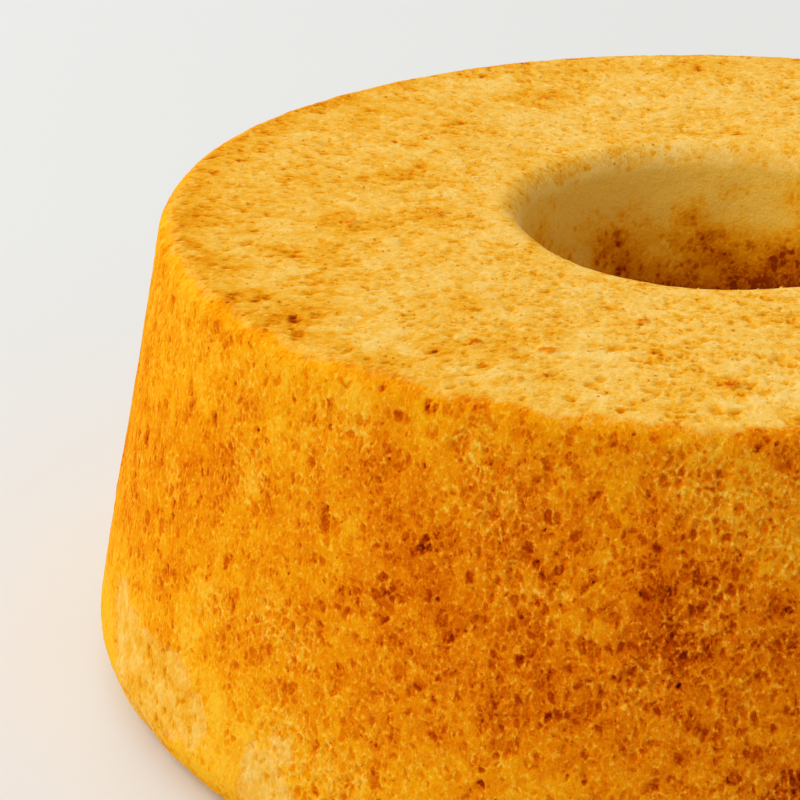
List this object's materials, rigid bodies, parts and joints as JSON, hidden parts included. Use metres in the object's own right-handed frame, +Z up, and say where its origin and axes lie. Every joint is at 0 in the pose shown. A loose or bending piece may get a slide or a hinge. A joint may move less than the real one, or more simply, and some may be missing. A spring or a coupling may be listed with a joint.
{
  "type": "chiffon cake",
  "caption": "Round golden sponge ring with a flat top, a wall that narrows upwards, a soft lower edge and a tapering hole through its middle.",
  "frame": {"origin": "middle of the hole at the height of the board that the cake stands on: the centre of the underside of its box", "axes": "+Z straight up along the hole, from the board to the flat top; X and Y level, with +Y away from the side that shows best"},
  "size_m": [0.1696, 0.1692, 0.0623],
  "materials": {
    "golden_crust": "matt golden-brown baked crust over pale yellow open crumb"
  },
  "bodies": {
    "root": {"cake": "golden_crust"}
  },
  "joints": []
}
